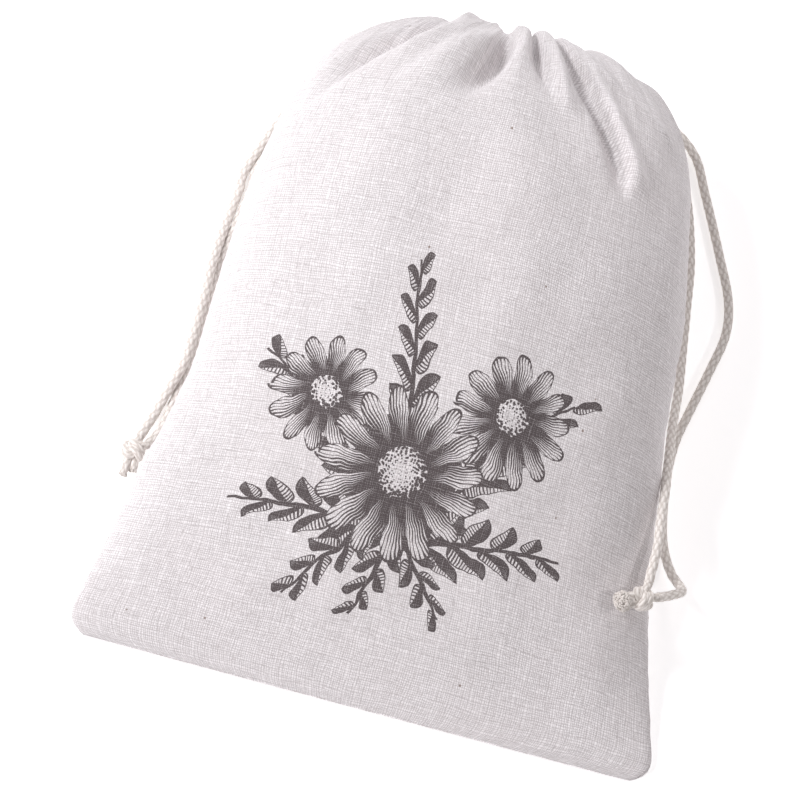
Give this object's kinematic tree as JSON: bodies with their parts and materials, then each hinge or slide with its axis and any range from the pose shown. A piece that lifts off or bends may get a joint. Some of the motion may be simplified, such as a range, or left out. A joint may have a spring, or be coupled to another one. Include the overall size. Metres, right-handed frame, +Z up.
{
  "type": "drawstring bread bag",
  "caption": "Cotton-linen drawstring bread bag, filled out and lying on its back, its neck drawn up and tucked behind and a knotted cord down each side.",
  "frame": {"origin": "on the surface the bag lies on, under the middle of the bag cloth's box", "axes": "+X across the bag to the right as seen facing its front, +Y from the bottom fold to the drawn neck, +Z up from the surface, out of the front"},
  "size_m": [0.3028, 0.3728, 0.105],
  "materials": {
    "cloth": "plain-woven off-white cotton-linen, matte, with a one-colour print on the front",
    "cord": "braided cream cotton cord, matte"
  },
  "bodies": {
    "root": {"bag_cloth": "cloth", "cord_left_a": "cord", "cord_left_b": "cord", "knot_left": "cord", "cord_right_a": "cord", "cord_right_b": "cord", "knot_right": "cord"}
  },
  "joints": []
}
